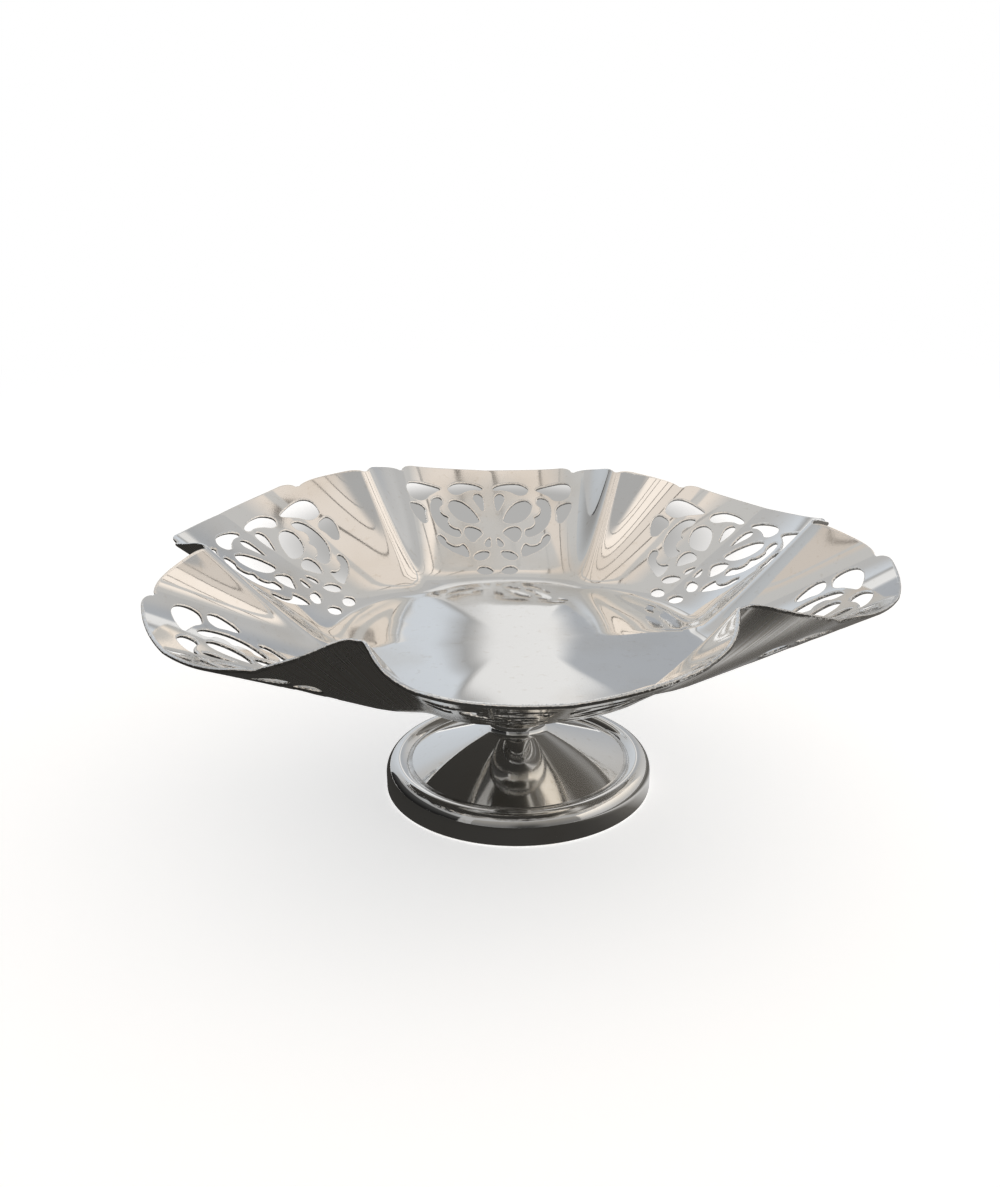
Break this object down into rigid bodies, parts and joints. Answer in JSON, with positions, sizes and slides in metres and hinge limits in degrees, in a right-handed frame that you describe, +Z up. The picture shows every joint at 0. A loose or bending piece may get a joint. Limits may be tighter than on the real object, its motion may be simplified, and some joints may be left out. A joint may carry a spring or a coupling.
{
  "type": "bonbon dish",
  "caption": "Footed bonbon dish: a pierced silver-plated sheet bowl with lobes and raised ridges, soldered onto a spun trumpet foot that stands in a moulded foot band.",
  "frame": {"origin": "centre of the foot band's standing face", "axes": "+Z up along the dish's axis, +X through a ridge of the bowl, +Y through the middle of a lobe"},
  "size_m": [0.146, 0.1528, 0.0588],
  "materials": {
    "bowl_plate": "mirror-polished silver plate with fine wear scratches",
    "foot_plate": "polished silver plate, a little duller in the crease",
    "solder": "dull grey soft solder"
  },
  "bodies": {
    "root": {"bowl": "bowl_plate", "foot_cone": "foot_plate", "foot_band": "foot_plate", "neck_solder": "solder", "band_solder": "solder"}
  },
  "joints": []
}
